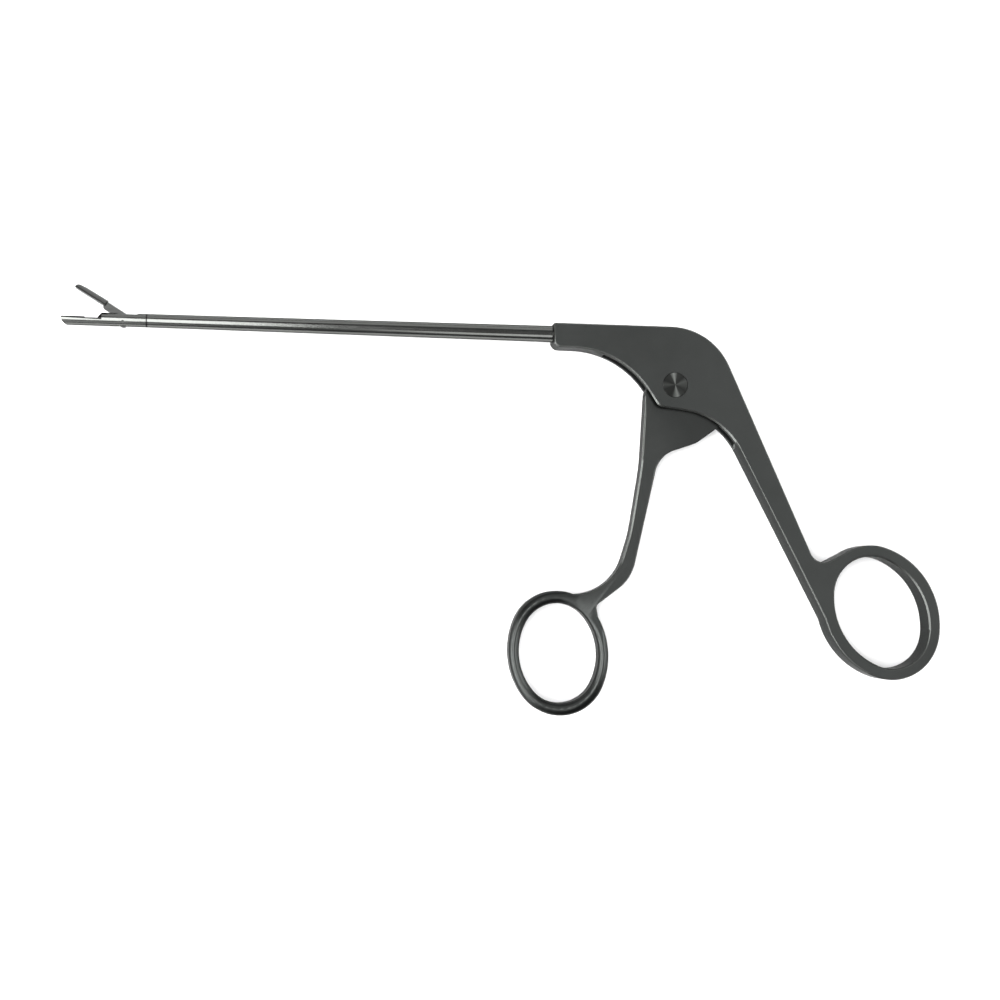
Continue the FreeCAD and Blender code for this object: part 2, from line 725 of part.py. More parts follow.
# The nose sweeps up from the belly to the bite in one round.
belly = -holder_radius
nose_high = point(tip_x, bite - size("nose_face_height"))
nose_middle = point(tip_x + size("nose_round_length"), bite - size("nose_round_height"))
nose_low = point(tip_x + size("belly_round_length"), belly)
nose_cut = [
    Part.Arc(nose_high, nose_middle, nose_low),
    Part.LineSegment(nose_low, point(nose_low.x, belly - margin)),
    Part.LineSegment(point(nose_low.x, belly - margin), point(tip_x - margin, belly - margin)),
    Part.LineSegment(point(tip_x - margin, belly - margin), point(tip_x - margin, nose_high.y)),
    Part.LineSegment(point(tip_x - margin, nose_high.y), nose_high),
]
nose_cut_sketch = new_sketch(holder, "nose_cut_outline", nose_cut, place=("0", SHAFT, MIDDLE))
add_pocket(holder, "nose_cut", nose_cut_sketch, centred=True)
# Rod way, then a wide slot for the fork and a narrow one for the jaw's tail.
slot_play = size("fork_slot_play")
wide_back = fork_start + size("fork_root") + slot_play
rod_way_front = fork_start - 2 * half_travel - slot_play
rod_way = sharp_outline([
    (rod_way_front, 0),
    (rod_way_front, size("rod_diameter") / 2 + size("running_gap")),
    (spigot_back + margin, size("rod_diameter") / 2 + size("running_gap")),
    (spigot_back + margin, 0),
])
rod_way_sketch = new_sketch(holder, "rod_way_profile", rod_way, place=("0", SHAFT, MIDDLE))
add_turned(holder, "rod_way", rod_way_sketch, "PartDesign::Groove")
wide_front = drive_pin_x - 2 * half_travel - size("prong_nose") - slot_play
wide_edges = sharp_outline([
    (wide_front, holder_radius + margin),
    (wide_front, -size("fork_slot_drop")),
    (wide_back, -size("fork_slot_drop")),
    (wide_back, holder_radius + margin),
])
FORK_SLOT_WIDTH = "(" + FORK_WIDTH + " + 2 * dims.running_gap)"
wide_place = ("0", SHAFT, MIDDLE + " - dims.tail_thickness / 2 - dims.prong_thickness - 2 * dims.running_gap")
wide_sketch = new_sketch(holder, "fork_slot_outline", wide_edges, place=wide_place)
add_pocket(holder, "fork_slot", wide_sketch, FORK_SLOT_WIDTH)
narrow_front = jaw_pivot_x - size("narrow_slot_front")
narrow_back = jaw_pivot_x + size("narrow_slot_back")
tail_floor = -size("tail_slot_floor")
floor_front = shoulder_x - size("shoulder_slope") - slot_play
narrow_edges = sharp_outline([
    (floor_front - size("tail_slot_floor"), holder_radius + margin),
    (floor_front - size("tail_slot_floor"), bite - size("bite_relief")),
    (floor_front, tail_floor),
    (narrow_front, tail_floor),
    (narrow_front, belly - margin),
    (narrow_back, belly - margin),
    (narrow_back, holder_radius + margin),
])
narrow_place = ("0", SHAFT, MIDDLE + " - dims.tail_thickness / 2 - dims.running_gap")
narrow_sketch = new_sketch(holder, "tail_slot_outline", narrow_edges, place=narrow_place)
add_pocket(holder, "tail_slot", narrow_sketch, "(dims.tail_thickness + 2 * dims.running_gap)")
jaw_hole_radius = size("jaw_pivot_diameter") / 2 + size("seat_gap")
jaw_hole_edges = circle_outline(jaw_pivot_x, jaw_pivot_y, jaw_hole_radius)
jaw_hole_sketch = new_sketch(holder, "jaw_hole_outline", jaw_hole_edges)
add_pocket(holder, "jaw_hole", jaw_hole_sketch)

# Jaw pivot pin, riveted just below the holder's round sides.
JAW_PIN_HALF = "(sqrt((dims.holder_diameter / 2)^2 - dims.jaw_pivot_drop^2) - dims.jaw_pin_recess)"
jaw_pin = document.addObject("Part::Cylinder", "jaw_pivot_pin")
jaw_pin.setExpression("Radius", "dims.jaw_pivot_diameter / 2 * 1 mm")
jaw_pin.setExpression("Height", "2 * " + JAW_PIN_HALF + " * 1 mm")
jaw_pin.setExpression("Placement.Base.z", "(" + MIDDLE + " - " + JAW_PIN_HALF + ") * 1 mm")
jaw_pin.Placement.Base = FreeCAD.Vector(jaw_pivot_x, jaw_pivot_y, 0)

# Upper jaw, drawn closed in its own frame about its pivot, then turned open.
jaw = new_body("upper_jaw")
jaw_floor = size("jaw_pivot_drop") + bite + size("running_gap")
jaw_back = jaw_floor + size("jaw_width") / 2
jaw_tip_x = tip_x - jaw_pivot_x + size("jaw_setback")
jaw_root_x = size("jaw_root_gap") - size("shoulder_ahead") - size("shoulder_slope")
section_radius = size("jaw_width") / 2
section = [
    Part.Arc(
        point(jaw_floor, section_radius),
        point(jaw_floor + section_radius, 0),
        point(jaw_floor, -section_radius),
    ),
    Part.LineSegment(point(jaw_floor, -section_radius), point(jaw_floor, section_radius)),
]
BLADE_START = "dims.jaw_pivot_ahead - dims.holder_length + dims.jaw_setback"
BLADE_ROOT = "dims.jaw_root_gap - dims.shoulder_ahead - dims.shoulder_slope"
section_sketch = new_sketch(jaw, "blade_section", section, "YZ_Plane", ("0", "0", BLADE_START))
add_pad(jaw, "blade", section_sketch, BLADE_ROOT + " - (" + BLADE_START + ")")
# The back slopes down to the nose.
nose_top = jaw_floor + size("jaw_tip_height")
slope_end = jaw_tip_x + size("jaw_slope_length")
lip = size("jaw_tip_lip")
tip_round = size("jaw_tip_round")
lip_spot = point(jaw_tip_x, jaw_floor + lip)
round_middle = point(jaw_tip_x + tip_round / 3, nose_top - lip)
round_end = point(jaw_tip_x + tip_round, nose_top + lip / 2)
slope = [
    Part.Arc(lip_spot, round_middle, round_end),
    Part.LineSegment(round_end, point(slope_end, jaw_back)),
    Part.LineSegment(point(slope_end, jaw_back), point(slope_end, jaw_back + margin)),
    Part.LineSegment(point(slope_end, jaw_back + margin), point(jaw_tip_x - margin, jaw_back + margin)),
    Part.LineSegment(point(jaw_tip_x - margin, jaw_back + margin), point(jaw_tip_x - margin, lip_spot.y)),
    Part.LineSegment(point(jaw_tip_x - margin, lip_spot.y), lip_spot),
]
slope_sketch = new_sketch(jaw, "nose_slope_outline", slope)
add_pocket(jaw, "nose_slope", slope_sketch, centred=True)
hole_reach = size("drive_pin_height") * (1 + 1 / math.cos(half_open)) / 2
hole_x = -hole_reach * math.sin(half_open)
hole_y = hole_reach * math.cos(half_open)
lobe = size("jaw_lobe_radius")
lobe_round = size("jaw_lobe_corner")
tail_lap_x = jaw_root_x - size("tail_root_lap")
wall = size("tail_hole_wall")
tail_corners = [
    (tail_lap_x, jaw_floor + size("bite_relief") / 2, 0),
    (jaw_root_x, size("tail_underside"), wall),
    (-lobe * 3 / 2, size("tail_underside"), wall),
    (-lobe, -lobe, lobe_round),
    (lobe, -lobe, lobe_round),
    (lobe, lobe / 2, wall),
    (hole_x + wall, hole_y, wall / 3),
    (hole_x + wall, hole_y + wall, wall / 2),
    (tail_lap_x, jaw_back - size("tail_back_step"), 0),
]
tail_sketch = new_sketch(jaw, "tail_outline", rounded_outline(tail_corners))
add_pad(jaw, "tail", tail_sketch, "dims.tail_thickness", centred=True)
jaw_bore_radius = size("jaw_pivot_diameter") / 2 + size("running_gap")
jaw_bore_sketch = new_sketch(jaw, "jaw_bore_outline", circle_outline(0, 0, jaw_bore_radius))
add_pocket(jaw, "jaw_bore", jaw_bore_sketch, centred=True)
drive_bore_radius = size("drive_pin_diameter") / 2 + size("drive_bore_play")
drive_bore_sketch = new_sketch(jaw, "drive_bore_outline", circle_outline(hole_x, hole_y, drive_bore_radius))
add_pocket(jaw, "drive_bore", drive_bore_sketch, centred=True)
jaw.Placement = FreeCAD.Placement(
    FreeCAD.Vector(jaw_pivot_x, jaw_pivot_y, middle_height),
    FreeCAD.Rotation(FreeCAD.Vector(0, 0, 1), -size("jaw_open_angle")),
)

nodes = [handle, lever, pivot_pin, tube, holder, jaw, jaw_pin, rod, drive_pin, nut]
for node in nodes:
    drawn_up = node.Placement.Base.y
    node.setExpression("Placement.Base.y", "(%r - dims.shaft_height) * 1 mm" % drawn_up)
document.recompute()
for item in document.Objects:
    if "Invalid" in item.State or "Error" in item.State:
        raise ValueError(item.Name + " failed")
os.makedirs("parts", exist_ok=True)
for node in nodes:
    if node.Shape.isNull() or not node.Shape.isValid():
        raise ValueError(node.Label + " has no valid shape")
for node in nodes:
    node.Shape.exportStep("parts/" + node.Label + ".step")
    print(node.Label, len(node.Shape.Solids), round(node.Shape.Volume, 2))
print("lever turn", math.degrees(2 * half_travel / shaft_up), "rod travel", 2 * half_travel)
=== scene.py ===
import bmesh
import bpy
import math
from mathutils import Matrix, Vector


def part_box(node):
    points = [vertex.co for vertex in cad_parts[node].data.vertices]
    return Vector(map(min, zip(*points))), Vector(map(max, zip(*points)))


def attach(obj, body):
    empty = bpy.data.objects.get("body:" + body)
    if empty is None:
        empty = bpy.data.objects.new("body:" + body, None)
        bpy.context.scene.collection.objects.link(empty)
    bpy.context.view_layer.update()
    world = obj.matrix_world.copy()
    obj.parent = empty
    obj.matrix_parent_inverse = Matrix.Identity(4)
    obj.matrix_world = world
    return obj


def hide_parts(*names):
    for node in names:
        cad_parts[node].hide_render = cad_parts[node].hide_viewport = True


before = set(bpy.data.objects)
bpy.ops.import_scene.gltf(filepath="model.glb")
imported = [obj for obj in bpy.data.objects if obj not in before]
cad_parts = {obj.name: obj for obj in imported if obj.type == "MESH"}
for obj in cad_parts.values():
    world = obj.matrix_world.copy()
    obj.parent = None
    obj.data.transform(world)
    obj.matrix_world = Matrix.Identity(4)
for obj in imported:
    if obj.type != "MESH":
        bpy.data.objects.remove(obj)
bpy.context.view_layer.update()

# Fixed handle. One steel forging with two cheeks round the lever, a tapering
# arm and the thumb ring. Its skin is a dark satin grey with a fine grain and
# its edges are broken by hand. Their chamfer faces get a lighter steel, a
# painted highlight along the edges.
merge_distance = 1e-6
flat_angle = math.radians(0.05)
gloss_spread = 0.18
chamfer_least = 0.5
chamfer_most = 0.9


def smooth_object(shell, piece_name, sharp_angle):
    mesh = bpy.data.meshes.new(piece_name)
    shell.to_mesh(mesh)
    shell.free()
    mesh.polygons.foreach_set("use_smooth", [True] * len(mesh.polygons))
    mesh.set_sharp_from_angle(angle=math.radians(sharp_angle))
    piece = bpy.data.objects.new(piece_name, mesh)
    bpy.context.scene.collection.objects.link(piece)
    return piece


def merged_copy(node_name, piece_name, body, sharp_angle):
    # The solid's loose triangles are joined into whole faces.
    shell = bmesh.new()
    shell.from_mesh(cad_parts[node_name].data)
    bmesh.ops.remove_doubles(shell, verts=shell.verts, dist=merge_distance)
    bmesh.ops.dissolve_limit(shell, angle_limit=flat_angle, verts=shell.verts, edges=shell.edges)
    piece = smooth_object(shell, piece_name, sharp_angle)
    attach(piece, body)
    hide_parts(node_name)
    return piece


def keep_flats_flat(piece):
    normals = piece.modifiers.new("face_normals", "WEIGHTED_NORMAL")
    normals.keep_sharp = True


def add_node(material, kind, **settings):
    node = material.node_tree.nodes.new(kind)
    for setting, value in settings.items():
        setattr(node, setting, value)
    return node


def wire(material, *pairs):
    for source, target in pairs:
        material.node_tree.links.new(source, target)


def steel(name, dark, light, roughness, grain, edge_tint=0.5):
    material = bpy.data.materials.new(name)
    material.use_nodes = True
    shader = material.node_tree.nodes["Principled BSDF"]
    shader.inputs["Metallic"].default_value = 1.0
    shader.inputs["Specular Tint"].default_value = (edge_tint, edge_tint, edge_tint, 1.0)
    place = add_node(material, "ShaderNodeTexCoord")
    # Broad, faint clouds from the finishing belt vary the tone.
    clouds = add_node(material, "ShaderNodeTexNoise")
    clouds.inputs["Scale"].default_value = 90.0
    clouds.inputs["Detail"].default_value = 3.0
    tone = add_node(material, "ShaderNodeMix", data_type="RGBA")
    tone.inputs["A"].default_value = dark
    tone.inputs["B"].default_value = light
    # Fine scratches run along the grain.
    stretch = add_node(material, "ShaderNodeMapping")
    stretch.inputs["Scale"].default_value = grain
    scratches = add_node(material, "ShaderNodeTexNoise")
    scratches.inputs["Scale"].default_value = 1.0
    scratches.inputs["Detail"].default_value = 5.0
    scratches.inputs["Roughness"].default_value = 0.65
    gloss = add_node(material, "ShaderNodeMapRange")
    gloss.inputs["From Min"].default_value = 0.3
    gloss.inputs["From Max"].default_value = 0.7
    gloss.inputs["To Min"].default_value = roughness * (1.0 - gloss_spread)
    gloss.inputs["To Max"].default_value = roughness * (1.0 + gloss_spread)
    relief = add_node(material, "ShaderNodeBump")
    relief.inputs["Strength"].default_value = 0.12
    relief.inputs["Distance"].default_value = 0.00002
    wire(
        material,
        (place.outputs["Object"], clouds.inputs["Vector"]),
        (clouds.outputs["Fac"], tone.inputs["Factor"]),
        (tone.outputs["Result"], shader.inputs["Base Color"]),
        (place.outputs["Object"], stretch.inputs["Vector"]),
        (stretch.outputs["Vector"], scratches.inputs["Vector"]),
        (scratches.outputs["Fac"], gloss.inputs["Value"]),
        (gloss.outputs["Result"], shader.inputs["Roughness"]),
        (scratches.outputs["Fac"], relief.inputs["Height"]),
        (relief.outputs["Normal"], shader.inputs["Normal"]),
    )
    return material


def is_chamfer(face):
    return chamfer_least < abs(face.normal.z) < chamfer_most


# Painted highlight: the chamfer faces take a lighter steel, so the edges read bright.
def paint_edge_highlights(piece):
    piece.data.materials.append(painted_edge_highlight)
    for face in piece.data.polygons:
        if is_chamfer(face):
            face.material_index = 1


satin = steel(
    "satin_steel",
    dark=(0.035, 0.037, 0.0358, 1.0),
    light=(0.048, 0.0505, 0.049, 1.0),
    roughness=0.36,
    grain=(900.0, 2600.0, 900.0),
)
# Painted highlight: a lighter copy of the satin steel for the chamfer faces.
painted_edge_highlight = steel(
    "painted_edge_highlight",
    dark=(0.052, 0.055, 0.052, 1.0),
    light=(0.075, 0.078, 0.075, 1.0),
    roughness=0.34,
    grain=(900.0, 2600.0, 900.0),
)
handle = merged_copy("fixed_handle", "handle_forging", "handle", 38)
keep_flats_flat(handle)
handle.data.materials.append(satin)
paint_edge_highlights(handle)

# Finger lever. A second forging whose milled tongue turns between the cheeks.
# Below them its bar thickens to full width and ends in the finger ring, whose
# rim is rounded by hand.
lever = merged_copy("finger_lever", "lever_forging", "lever", 38)
pin_low, pin_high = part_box("pivot_pin")
pin_centre = (pin_low + pin_high) / 2
hollow_angle = math.radians(202)
hollow_way = Vector((math.cos(hollow_angle), math.sin(hollow_angle), 0.0))
hollow_start = 0.0007
hollow_end = 0.0125
hollow_slope = math.radians(8)
hollow_cuts = 12
# How much of the lever's tone the painted shade in the hollow keeps.
hollow_shade_factor = 0.72
ring_centre = Vector((-0.03135, -0.08625, 0.0))
ring_lean = math.radians(-83)
ring_along = Vector((math.cos(ring_lean), math.sin(ring_lean), 0.0))
ring_beside = Vector((-ring_along.y, ring_along.x, 0.0))
ring_half_length = 0.01665
ring_half_width = 0.01345
ring_spokes = 24
rim_share = 0.2
rim_roll = math.radians(76)
rim_face_reach = 1.03
rim_chamfer_reach = 1.01
rim_chamfer_rise = 0.2
way_to_bar = Vector((0.64, 0.77, 0.0))
bar_fade_start = 0.97
bar_fade_length = 0.25
level_least = 0.95


def cut_across(shell, place, way):
    bmesh.ops.bisect_plane(
        shell,
        geom=shell.verts[:] + shell.edges[:] + shell.faces[:],
        plane_co=place,
        plane_no=way,
    )


# The hollow is cut into strips and the ring into spokes, so that the shading
# can turn evenly from one to the next.
cut_lever = bmesh.new()
cut_lever.from_mesh(lever.data)
for cut in range(hollow_cuts + 1):
    cut_reach = hollow_start + (hollow_end - hollow_start) * cut / hollow_cuts
    cut_across(cut_lever, pin_centre + hollow_way * cut_reach, hollow_way)
for spoke in range(ring_spokes):
    spoke_angle = math.pi * spoke / ring_spokes
    spoke_side = Vector((-math.sin(spoke_angle), math.cos(spoke_angle), 0.0))
    cut_across(cut_lever, ring_centre, spoke_side)
cut_lever.to_mesh(lever.data)
cut_lever.free()


def limited(value, least, most):
    return min(max(value, least), most)


def is_level(face):
    return abs(face.normal.z) > level_least


def ring_steps(spot):
    # Along and beside the ring's long axis, its outside being one step away.
    along = (spot - ring_centre).dot(ring_along) / ring_half_length
    beside = (spot - ring_centre).dot(ring_beside) / ring_half_width
    return along, beside


def hollow_normal(spot, facing):
    # The milled hollow dips and rises again between its start and its end.
    reach = (spot - pin_centre).dot(hollow_way)
    share = (reach - hollow_start) / (hollow_end - hollow_start)
    slope = hollow_slope * math.sin(math.pi * limited(share, 0.0, 1.0)) ** 2
    return Vector((0.0, 0.0, facing * math.cos(slope))) - hollow_way * math.sin(slope)


def rim_normal(spot, facing):
    # The rim rolls from the opening to the outside and fades into the bar.
    along, beside = ring_steps(spot)
    half_rim = rim_share / 2
    rim_place = (math.hypot(along, beside) - 1.0 + half_rim) / half_rim
    towards_bar = (spot - ring_centre).normalized().dot(way_to_bar)
    fade = limited((bar_fade_start - towards_bar) / bar_fade_length, 0.0, 1.0)
    roll = rim_roll * fade * limited(rim_place, -1.0, 1.0)
    outward = ring_along * along / ring_half_length + ring_beside * beside / ring_half_width
    outward.normalize()
    return outward * math.sin(roll) + Vector((0.0, 0.0, facing * math.cos(roll)))


lever_normals = [corner.vector.copy() for corner in lever.data.corner_normals]
rim_chamfers = []
for face in lever.data.polygons:
    facing = math.copysign(1.0, face.normal.z)
    if is_chamfer(face) and math.hypot(*ring_steps(face.center)) < rim_chamfer_reach:
        rim_chamfers.append(face)
        chamfer_side = Vector((face.normal.x, face.normal.y, 0.0)).normalized()
        for corner in face.loop_indices:
            chamfer_rise = Vector((0.0, 0.0, facing * rim_chamfer_rise))
            lever_normals[corner] = chamfer_side + chamfer_rise
    if is_level(face):
        for corner in face.loop_indices:
            spot = lever.data.vertices[lever.data.loops[corner].vertex_index].co
            if math.hypot(*ring_steps(spot)) < rim_face_reach:
                lever_normals[corner] = rim_normal(spot, facing)
            else:
                lever_normals[corner] = hollow_normal(spot, facing)
lever.data.normals_split_custom_set(lever_normals)
lever_steel = steel(
    "lever_steel",
    dark=(0.035, 0.037, 0.0358, 1.0),
    light=(0.048, 0.0505, 0.049, 1.0),
    roughness=0.36,
    grain=(2600.0, 900.0, 900.0),
)
lever.data.materials.append(lever_steel)
# The lever's chamfers get the painted edge highlight too, except round the ring.
paint_edge_highlights(lever)
for face in rim_chamfers:
    face.material_index = 0


def base_colour(material):
    return material.node_tree.nodes["Principled BSDF"].inputs["Base Color"]


# Painted shade: the milled hollow under the cheek is painted a little darker
# than the forged skin round it.
hollow_shade_place = add_node(lever_steel, "ShaderNodeTexCoord")
hollow_shade_reach = add_node(lever_steel, "ShaderNodeVectorMath", operation="DOT_PRODUCT")
hollow_shade_reach.inputs[1].default_value = hollow_way
hollow_shade_share = add_node(lever_steel, "ShaderNodeMapRange", interpolation_type="SMOOTHSTEP")
hollow_shade_share.inputs["From Min"].default_value = pin_centre.dot(hollow_way) + hollow_start
hollow_shade_share.inputs["From Max"].default_value = pin_centre.dot(hollow_way) + hollow_end
hollow_shade_share.inputs["To Min"].default_value = hollow_shade_factor
hollow_shaded_tone = add_node(lever_steel, "ShaderNodeVectorMath", operation="SCALE")
forged_tone = base_colour(lever_steel).links[0].from_socket
wire(
    lever_steel,
    (hollow_shade_place.outputs["Object"], hollow_shade_reach.inputs[0]),
    (hollow_shade_reach.outputs["Value"], hollow_shade_share.inputs["Value"]),
    (forged_tone, hollow_shaded_tone.inputs[0]),
    (hollow_shade_share.outputs["Result"], hollow_shaded_tone.inputs["Scale"]),
    (hollow_shaded_tone.outputs["Vector"], base_colour(lever_steel)),
)

# Main pivot pin. A turned pin set flush in the near cheek, with rings left
# by the lathe on its face and a fine broken edge round its head.
pivot_low, pivot_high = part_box("pivot_pin")
pivot_x = (pivot_low.x + pivot_high.x) / 2
pivot_y = (pivot_low.y + pivot_high.y) / 2
pivot_head_radius = (pivot_high.x - pivot_low.x) / 2
pivot_head_height = 0.00118
pivot_shank_radius = 0.002
pivot_rim = 0.00012
pivot_turn_steps = 96
lathe_step = 0.00015
lathe_depth = 0.000004
pivot_face_height = pivot_high.z - lathe_depth
pivot_profile = [(0.0, pivot_face_height)]
ring_count = int((pivot_head_radius - pivot_rim) / lathe_step)
for ring in range(1, ring_count):
    ripple = lathe_depth * (ring % 2)
    pivot_profile.append((ring * lathe_step, pivot_face_height + ripple))
pivot_profile += [
    (pivot_head_radius - pivot_rim, pivot_face_height),
    (pivot_head_radius, pivot_high.z - pivot_rim),
    (pivot_head_radius, pivot_high.z - pivot_head_height),
    (pivot_shank_radius, pivot_high.z - pivot_head_height),
    (pivot_shank_radius, pivot_low.z + pivot_rim),
    (pivot_shank_radius - pivot_rim, pivot_low.z),
    (0.0, pivot_low.z),
]
turned = bmesh.new()
turned_verts = [
    turned.verts.new((pivot_x + radius, pivot_y, height)) for radius, height in pivot_profile
]
turned_edges = [turned.edges.new(pair) for pair in zip(turned_verts, turned_verts[1:])]
bmesh.ops.spin(
    turned,
    geom=turned_verts + turned_edges,
    cent=(pivot_x, pivot_y, 0.0),
    axis=(0.0, 0.0, 1.0),
    angle=math.tau,
    steps=pivot_turn_steps,
    use_merge=True,
)
bmesh.ops.remove_doubles(turned, verts=turned.verts, dist=merge_distance)
bmesh.ops.recalc_face_normals(turned, faces=turned.faces)
pivot = smooth_object(turned, "pivot_pin_turned", 30)
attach(pivot, "handle")
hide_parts("pivot_pin")
turned_steel = steel(
    "turned_steel",
    dark=(0.07, 0.074, 0.07, 1.0),
    light=(0.1, 0.104, 0.1, 1.0),
    roughness=0.36,
    grain=(1500.0, 1500.0, 1500.0),
)
pivot.data.materials.append(turned_steel)
# Painted highlights: bright streaks and dark wedges are painted round the
# pin's centre by angle, in place of the light that the lathe's rings spread
# into streaks. Each stop is a share of a full turn and the steel's brightness
# there. The ramp holds a share of that brightness, which keeps its tones under one.
painted_streak_stops = (
    (0.0, 0.5),
    (0.06, 0.22),
    (0.2, 0.2),
    (0.285, 1.5),
    (0.33, 0.35),
    (0.42, 0.22),
    (0.56, 0.6),
    (0.62, 0.22),
    (0.72, 0.3),
    (0.775, 1.8),
    (0.83, 0.3),
    (0.94, 0.2),
    (1.0, 0.5),
)
ramp_share = 0.4
streak_place = add_node(turned_steel, "ShaderNodeTexCoord")
streak_centre = add_node(turned_steel, "ShaderNodeMapping")
streak_centre.inputs["Location"].default_value = (-pivot_x, -pivot_y, 0.0)
streak_angle = add_node(turned_steel, "ShaderNodeTexGradient", gradient_type="RADIAL")
streak_ramp = add_node(turned_steel, "ShaderNodeValToRGB")
for turn_share, brightness in painted_streak_stops[1:-1]:
    streak_ramp.color_ramp.elements.new(turn_share)
for stop, (turn_share, brightness) in zip(streak_ramp.color_ramp.elements, painted_streak_stops):
    ramp_tone = brightness * ramp_share
    stop.color = (ramp_tone, ramp_tone, ramp_tone, 1.0)
streak_strength = add_node(turned_steel, "ShaderNodeVectorMath", operation="SCALE")
streak_strength.inputs["Scale"].default_value = 1.0 / ramp_share
painted_streak_tone = add_node(turned_steel, "ShaderNodeMix", data_type="RGBA", blend_type="MULTIPLY")
painted_streak_tone.inputs["Factor"].default_value = 1.0
plain_tone = base_colour(turned_steel).links[0].from_socket
wire(
    turned_steel,
    (streak_place.outputs["Object"], streak_centre.inputs["Vector"]),
    (streak_centre.outputs["Vector"], streak_angle.inputs["Vector"]),
    (streak_angle.outputs["Fac"], streak_ramp.inputs["Fac"]),
    (streak_ramp.outputs["Color"], streak_strength.inputs[0]),
    (streak_strength.outputs["Vector"], painted_streak_tone.inputs["A"]),
    (plain_tone, painted_streak_tone.inputs["B"]),
    (painted_streak_tone.outputs["Result"], base_colour(turned_steel)),
)

# Outer tube. A long polished tube, a little thicker towards the handle, with
# fine draw lines along it and a thin dark joint where the jaw holder begins.
tube = merged_copy("outer_tube", "tube_drawn", "handle", 40)
tube_low, tube_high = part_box("outer_tube")
shaft_axis = (tube_low + tube_high) / 2
round_least = 0.96
joint_line_width = 0.0003
joint_line_tone = (0.006, 0.006, 0.006, 1.0)


def round_about_shaft(piece):
    # Faces that look straight out from the shaft's axis are shaded as round.
    mesh = piece.data
    normals = [corner.vector.copy() for corner in mesh.corner_normals]
    for face in mesh.polygons:
        for corner in face.loop_indices:
            spot = mesh.vertices[mesh.loops[corner].vertex_index].co
            outward = Vector((0.0, spot.y - shaft_axis.y, spot.z - shaft_axis.z)).normalized()
            if outward.dot(face.normal) > round_least:
                normals[corner] = outward
    mesh.normals_split_custom_set(normals)


def passes(material, source, operation, limit):
    test = add_node(material, "ShaderNodeMath", operation=operation)
    test.inputs[1].default_value = limit
    wire(material, (source, test.inputs[0]))
    return test.outputs["Value"]


def darken(material, mask, dark_tone):
    mixed_tone = add_node(material, "ShaderNodeMix", data_type="RGBA")
    mixed_tone.inputs["B"].default_value = dark_tone
    tone_before = base_colour(material).links[0].from_socket
    wire(
        material,
        (mask, mixed_tone.inputs["Factor"]),
        (tone_before, mixed_tone.inputs["A"]),
        (mixed_tone.outputs["Result"], base_colour(material)),
    )


round_about_shaft(tube)
polished = steel(
    "polished_steel",
    dark=(0.1, 0.103, 0.098, 1.0),
    light=(0.132, 0.135, 0.13, 1.0),
    roughness=0.17,
    grain=(40.0, 1500.0, 1500.0),
    edge_tint=0.2,
)
tube.data.materials.append(polished)
joint_place = add_node(polished, "ShaderNodeTexCoord")
joint_axes = add_node(polished, "ShaderNodeSeparateXYZ")
wire(polished, (joint_place.outputs["Object"], joint_axes.inputs["Vector"]))
joint_end = tube_low.x + joint_line_width
darken(polished, passes(polished, joint_axes.outputs["X"], "LESS_THAN", joint_end), joint_line_tone)

# Jaws. The lower jaw is one piece with its slotted holder, ground round and
# polished below. The upper jaw is a half-round blade on a thin tail.
lower_jaw = merged_copy("lower_jaw", "lower_jaw_ground", "handle", 35)
round_about_shaft(lower_jaw)
jaw_steel = steel(
    "jaw_steel",
    dark=(0.1, 0.103, 0.098, 1.0),
    light=(0.132, 0.135, 0.13, 1.0),
    roughness=0.2,
    grain=(200.0, 3500.0, 3500.0),
    edge_tint=0.2,
)
lower_jaw.data.materials.append(jaw_steel)
# Painted shade: a dark line is painted along the near rim of the bite, where
# its wall lies in shade, rising towards the tip.
bite_end = -0.1527
bite_line_slope = 0.03
bite_line_height = -0.00492
bite_line_reach = 0.0013
bite_shade_tone = (0.012, 0.012, 0.012, 1.0)
bite_place = add_node(jaw_steel, "ShaderNodeTexCoord")
bite_axes = add_node(jaw_steel, "ShaderNodeSeparateXYZ")
bite_lift = add_node(jaw_steel, "ShaderNodeVectorMath", operation="DOT_PRODUCT")
bite_lift.inputs[1].default_value = (bite_line_slope, 1.0, 0.0)
wire(
    jaw_steel,
    (bite_place.outputs["Object"], bite_axes.inputs["Vector"]),
    (bite_place.outputs["Object"], bite_lift.inputs[0]),
)
bite_tests = (
    (bite_axes.outputs["X"], "LESS_THAN", bite_end),
    (bite_lift.outputs["Value"], "GREATER_THAN", shaft_axis.y + bite_line_height),
    (bite_axes.outputs["Z"], "GREATER_THAN", shaft_axis.z + bite_line_reach),
)
ahead, above, near = [passes(jaw_steel, *bite_test) for bite_test in bite_tests]
bite_rim = add_node(jaw_steel, "ShaderNodeMath", operation="MULTIPLY")
near_rim = add_node(jaw_steel, "ShaderNodeMath", operation="MULTIPLY")
wire(
    jaw_steel,
    (ahead, bite_rim.inputs[0]),
    (above, bite_rim.inputs[1]),
    (bite_rim.outputs["Value"], near_rim.inputs[0]),
    (near, near_rim.inputs[1]),
)
darken(jaw_steel, near_rim.outputs["Value"], bite_shade_tone)
upper_jaw = merged_copy("upper_jaw", "upper_jaw_ground", "jaw", 35)
keep_flats_flat(upper_jaw)
blade_steel = steel(
    "blade_steel",
    dark=(0.06, 0.062, 0.06, 1.0),
    light=(0.12, 0.123, 0.12, 1.0),
    roughness=0.32,
    grain=(200.0, 3500.0, 3500.0),
)
# A darker copy of the jaw's steel, painted shade for the jaw's level faces.
level_face_shade_steel = steel(
    "level_face_shade_steel",
    dark=(0.02, 0.021, 0.02, 1.0),
    light=(0.045, 0.046, 0.045, 1.0),
    roughness=0.36,
    grain=(200.0, 3500.0, 3500.0),
)
upper_jaw.data.materials.append(blade_steel)
upper_jaw.data.materials.append(level_face_shade_steel)
